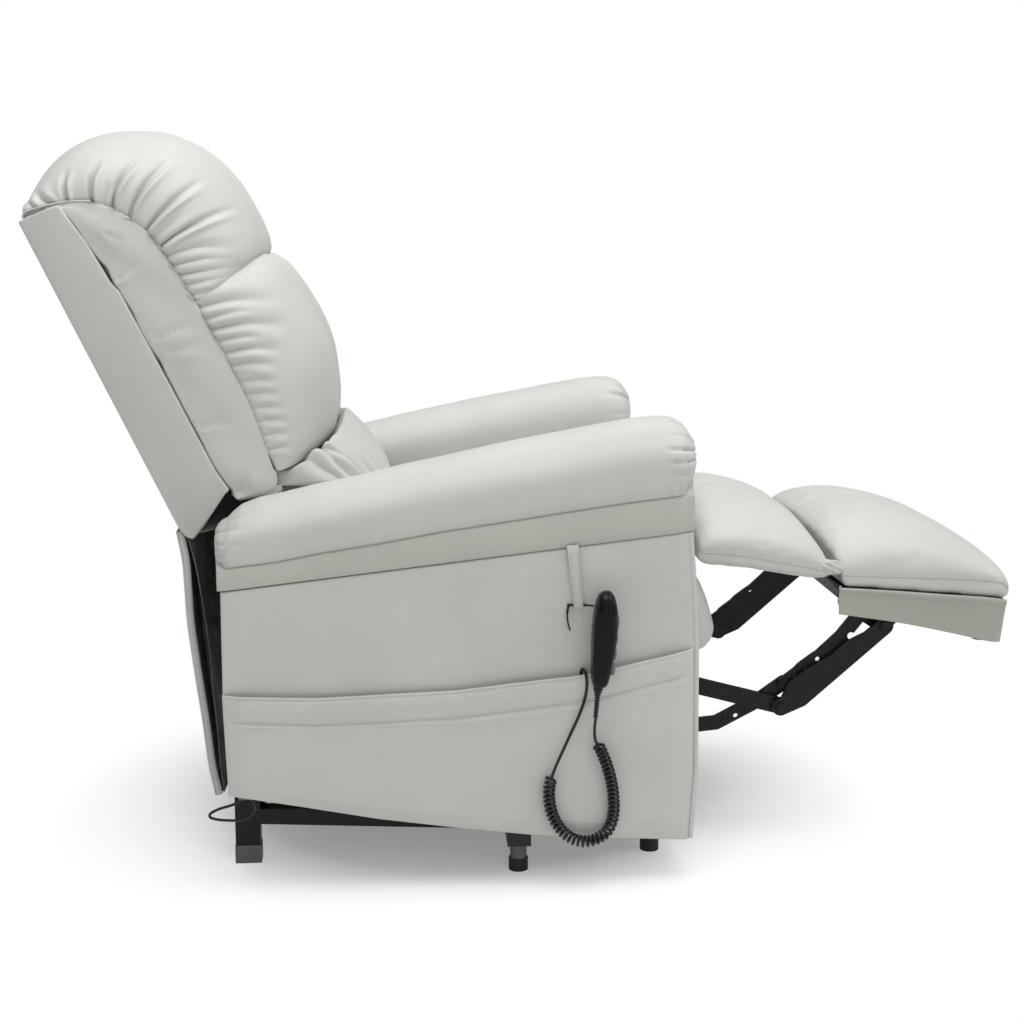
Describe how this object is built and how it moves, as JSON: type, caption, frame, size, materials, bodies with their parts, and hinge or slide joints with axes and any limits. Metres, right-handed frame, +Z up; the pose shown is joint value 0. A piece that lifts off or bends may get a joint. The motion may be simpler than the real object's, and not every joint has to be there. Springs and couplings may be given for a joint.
{
  "type": "lift recliner chair",
  "caption": "Upholstered riser recliner chair with a lift base, reclining back, fold-out footrest, side pocket and a hanging handset on a curly lead.",
  "frame": {"origin": "on the floor under the middle of the chair as it stands reclined, with its footrest out and its lift down", "axes": "+X forward from the back to the footrest, +Y to the sitter's left, +Z up"},
  "size_m": [1.4309, 0.811, 1.0537],
  "materials": {
    "leather": "pale warm grey coated upholstery, soft grain, low sheen",
    "black_steel": "satin black powder coat",
    "zinc_steel": "zinc plated steel",
    "wood": "plain plywood and softwood",
    "black_plastic": "smooth black moulding",
    "motor_plastic": "fine grained black moulding",
    "cap_grey": "grey moulded caps",
    "button_grey": "soft touch grey buttons",
    "rubber": "black rubber",
    "cord_black": "black flexible cable jacket"
  },
  "bodies": {
    "base": {"base_side_rails": "black_steel", "base_cross_tubes": "black_steel", "base_rear_legs": "black_steel", "base_end_caps": "cap_grey", "base_feet": "rubber", "base_brackets": "black_steel"},
    "lift_arms": {"lift_arms": "black_steel"},
    "lift_rear_links": {"lift_rear_links": "black_steel"},
    "lift_motor": {"lift_motor": "motor_plastic"},
    "lift_rod": {"lift_rod": "zinc_steel"},
    "chair": {"seat_side_plates": "black_steel", "seat_cross_tubes": "black_steel", "seat_box": "wood", "seat_springs": "zinc_steel", "seat_cushion": "leather", "arm_frames": "wood", "arm_side_right": "leather", "arm_side_left": "leather", "arm_inner_panels": "leather", "arm_end_panels": "leather", "arm_pad_right": "leather", "arm_pad_left": "leather", "side_pocket": "leather", "handset_strap": "leather", "front_apron": "leather", "rear_lead": "cord_black", "handset_front": "black_plastic", "handset_back": "black_plastic", "handset_hook": "zinc_steel", "handset_relief": "cord_black", "handset_lead": "cord_black", "handset_coil": "cord_black", "handset_lead_end": "cord_black"},
    "button_raise": {"button_raise": "button_grey"},
    "button_lower": {"button_lower": "button_grey"},
    "button_recline": {"button_recline": "button_grey"},
    "button_return": {"button_return": "button_grey"},
    "back": {"back_frame": "wood", "back_brackets": "black_steel", "back_shell": "leather", "head_pillow": "leather", "lumbar_cushion": "leather", "back_lower_band": "leather"},
    "rear_flap": {"rear_flap": "leather"},
    "recline_motor": {"recline_motor": "motor_plastic"},
    "recline_rod": {"recline_rod": "zinc_steel"},
    "footrest_drive": {"footrest_drive_links": "black_steel"},
    "footrest_rear": {"footrest_rear_links": "black_steel"},
    "footrest_cross": {"footrest_cross_links": "black_steel"},
    "footrest_long": {"footrest_long_arms": "black_steel"},
    "footrest_short": {"footrest_short_arms": "black_steel"},
    "footboard": {"foot_board": "wood", "foot_brackets": "black_steel", "foot_cushion": "leather", "foot_valance": "leather", "foot_bumpers": "rubber"},
    "leg_pad": {"leg_pad": "leather"},
    "footrest_motor": {"footrest_motor": "motor_plastic"},
    "footrest_rod": {"footrest_rod": "zinc_steel"}
  },
  "joints": [
    {"name": "lift", "type": "hinge", "parent": "base", "child": "lift_arms", "pos_m": [0.13, 0.029, 0.08], "axis": [0, 1, 0], "range_deg": [0, 50]},
    {"name": "chair_tilt", "type": "hinge", "parent": "lift_arms", "child": "chair", "pos_m": [-0.09, 0.029, 0.12], "axis": [0, 1, 0], "range_deg": [-28.01, 0]},
    {"name": "rear_link_turn", "type": "hinge", "parent": "base", "child": "lift_rear_links", "pos_m": [0.0806, 0.029, 0.1095], "axis": [0, 1, 0], "range_deg": [0, 41.71]},
    {"name": "lift_motor_swing", "type": "hinge", "parent": "base", "child": "lift_motor", "pos_m": [-0.387, 0.029, 0.092], "axis": [0, 1, 0], "range_deg": [0, 0.6545]},
    {"name": "lift_extend", "type": "slide", "parent": "lift_motor", "child": "lift_rod", "axis": [0.9945, 0, 0.1049], "range_m": [0, 0.05886]},
    {"name": "back_recline", "type": "hinge", "parent": "chair", "child": "back", "pos_m": [-0.3, 0.029, 0.4], "axis": [0, -1, 0], "range_deg": [-12, 20]},
    {"name": "flap_swing", "type": "hinge", "parent": "back", "child": "rear_flap", "pos_m": [-0.508, 0.029, 0.5], "axis": [0, -1, 0], "range_deg": [-17.01, 10.21]},
    {"name": "recline_motor_swing", "type": "hinge", "parent": "chair", "child": "recline_motor", "pos_m": [0.11, 0.029, 0.238], "axis": [0, -1, 0], "range_deg": [-0.23, 0.142]},
    {"name": "recline_extend", "type": "slide", "parent": "recline_motor", "child": "recline_rod", "axis": [-0.9898, 0, 0.1427], "range_m": [-0.0353, 0.02119]},
    {"name": "footrest", "type": "hinge", "parent": "chair", "child": "footrest_drive", "pos_m": [0.1977, 0.029, 0.2528], "axis": [0, 1, 0], "range_deg": [0, 100.03]},
    {"name": "footrest_cross_turn", "type": "hinge", "parent": "footrest_drive", "child": "footrest_cross", "pos_m": [0.331, 0.029, 0.216], "axis": [0, 1, 0], "range_deg": [-96.85, 0]},
    {"name": "footrest_long_turn", "type": "hinge", "parent": "footrest_drive", "child": "footrest_long", "pos_m": [0.362, 0.029, 0.209], "axis": [0, 1, 0], "range_deg": [-102.63, 0]},
    {"name": "footrest_short_turn", "type": "hinge", "parent": "footrest_cross", "child": "footrest_short", "pos_m": [0.369, 0.029, 0.243], "axis": [0, 1, 0], "range_deg": [-4.82, 0]},
    {"name": "footboard_turn", "type": "hinge", "parent": "footrest_long", "child": "footboard", "pos_m": [0.5158, 0.029, 0.3307], "axis": [0, 1, 0], "range_deg": [0, 83]},
    {"name": "leg_pad_turn", "type": "hinge", "parent": "footboard", "child": "leg_pad", "pos_m": [0.445, 0.029, 0.41], "axis": [0, 1, 0], "range_deg": [-22.81, 0]},
    {"name": "footrest_rear_turn", "type": "hinge", "parent": "chair", "child": "footrest_rear", "pos_m": [0.0842, 0.029, 0.2178], "axis": [0, 1, 0], "range_deg": [0, 100.49]},
    {"name": "footrest_motor_swing", "type": "hinge", "parent": "chair", "child": "footrest_motor", "pos_m": [-0.24, 0.029, 0.262], "axis": [0, 1, 0], "range_deg": [0, 0.2381]},
    {"name": "footrest_extend", "type": "slide", "parent": "footrest_motor", "child": "footrest_rod", "axis": [0.9994, 0, 0.0341], "range_m": [0, 0.05535]},
    {"name": "press_raise", "type": "slide", "parent": "chair", "child": "button_raise", "axis": [-0.9968, 0, 0.0802], "range_m": [0, 0.0012], "stiffness_N_per_m": 500},
    {"name": "press_lower", "type": "slide", "parent": "chair", "child": "button_lower", "axis": [-0.9968, 0, 0.0802], "range_m": [0, 0.0012], "stiffness_N_per_m": 500},
    {"name": "press_recline", "type": "slide", "parent": "chair", "child": "button_recline", "axis": [-0.9968, 0, 0.0802], "range_m": [0, 0.0012], "stiffness_N_per_m": 500},
    {"name": "press_return", "type": "slide", "parent": "chair", "child": "button_return", "axis": [-0.9968, 0, 0.0802], "range_m": [0, 0.0012], "stiffness_N_per_m": 500}
  ],
  "couplings": [
    {"joint": "chair_tilt", "follows": "lift", "ratio": -0.56},
    {"joint": "rear_link_turn", "follows": "lift", "ratio": 0.834},
    {"joint": "lift_motor_swing", "follows": "lift", "ratio": 0.01289},
    {"joint": "lift_extend", "follows": "lift", "m_per_rad": 0.06744},
    {"joint": "flap_swing", "follows": "back_recline", "ratio": -0.85},
    {"joint": "recline_motor_swing", "follows": "back_recline", "ratio": -0.011},
    {"joint": "recline_extend", "follows": "back_recline", "m_per_rad": -0.10111},
    {"joint": "footrest_cross_turn", "follows": "footrest", "ratio": -0.9681},
    {"joint": "footrest_long_turn", "follows": "footrest", "ratio": -1.0259},
    {"joint": "footrest_short_turn", "follows": "footrest", "ratio": -0.04809},
    {"joint": "footboard_turn", "follows": "footrest", "ratio": 0.82965},
    {"joint": "leg_pad_turn", "follows": "footrest", "ratio": -0.2279},
    {"joint": "footrest_rear_turn", "follows": "footrest", "ratio": 1.0045},
    {"joint": "footrest_motor_swing", "follows": "footrest", "ratio": 0.00228},
    {"joint": "footrest_extend", "follows": "footrest", "m_per_rad": 0.031699}
  ]
}
